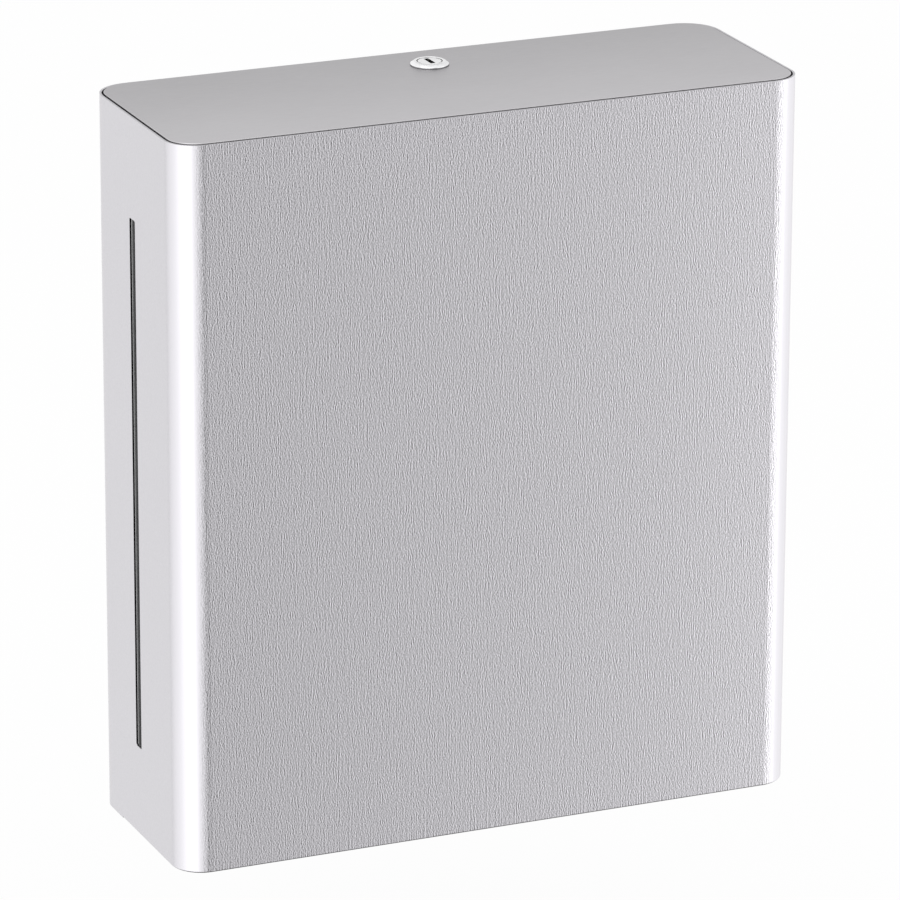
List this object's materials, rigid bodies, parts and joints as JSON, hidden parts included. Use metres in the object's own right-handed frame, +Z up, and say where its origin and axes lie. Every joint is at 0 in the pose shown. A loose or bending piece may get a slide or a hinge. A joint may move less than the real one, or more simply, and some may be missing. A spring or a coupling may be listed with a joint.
{
  "type": "paper towel dispenser",
  "caption": "Wall-mounted brushed steel folded-towel dispenser with a hinged cover, cam lock in the top, side level slots and an outlet in the tray.",
  "frame": {"origin": "middle of the underside, at the height of the cover's and the chassis's lower edges", "axes": "+Z up, +Y towards the wall, X across the front"},
  "size_m": [0.29, 0.105, 0.3273],
  "materials": {
    "cover_steel": "vertical fine brushed stainless",
    "inner_steel": "mill-finish stainless sheet",
    "zinc_steel": "bright zinc plate",
    "lock_chrome": "polished chrome plate",
    "wafer_brass": "stamped brass",
    "spacer_nylon": "natural nylon",
    "buffer_rubber": "moulded rubber"
  },
  "bodies": {
    "chassis": {"back_plate": "inner_steel", "towel_tray": "inner_steel", "tray_rivets": "zinc_steel", "strike_plate": "inner_steel", "strike_rivets": "zinc_steel", "hinge_pin_left": "zinc_steel", "hinge_pin_right": "zinc_steel", "hinge_clip_left": "zinc_steel", "hinge_clip_right": "zinc_steel", "hinge_washer_left": "spacer_nylon", "hinge_washer_right": "spacer_nylon", "buffer_left": "buffer_rubber", "buffer_right": "buffer_rubber"},
    "cover": {"cover_wrap": "cover_steel", "top_plate": "cover_steel", "cross_bar": "inner_steel", "hinge_lug_left": "inner_steel", "hinge_lug_right": "inner_steel", "lock_housing": "lock_chrome", "lock_washer": "zinc_steel", "lock_nut": "zinc_steel"},
    "lock_plug": {"lock_plug": "lock_chrome", "lock_wafers": "wafer_brass", "lock_cam": "zinc_steel", "cam_washer": "zinc_steel", "cam_screw": "zinc_steel"}
  },
  "joints": [
    {"name": "cover_hinge", "type": "hinge", "parent": "chassis", "child": "cover", "pos_m": [0, 0.041, 0.0045], "axis": [1, 0, 0], "range_deg": [0, 90]},
    {"name": "lock_turn", "type": "hinge", "parent": "cover", "child": "lock_plug", "pos_m": [0.003, 0.0275, 0.316], "axis": [0, 0, -1], "range_deg": [0, 90]}
  ]
}
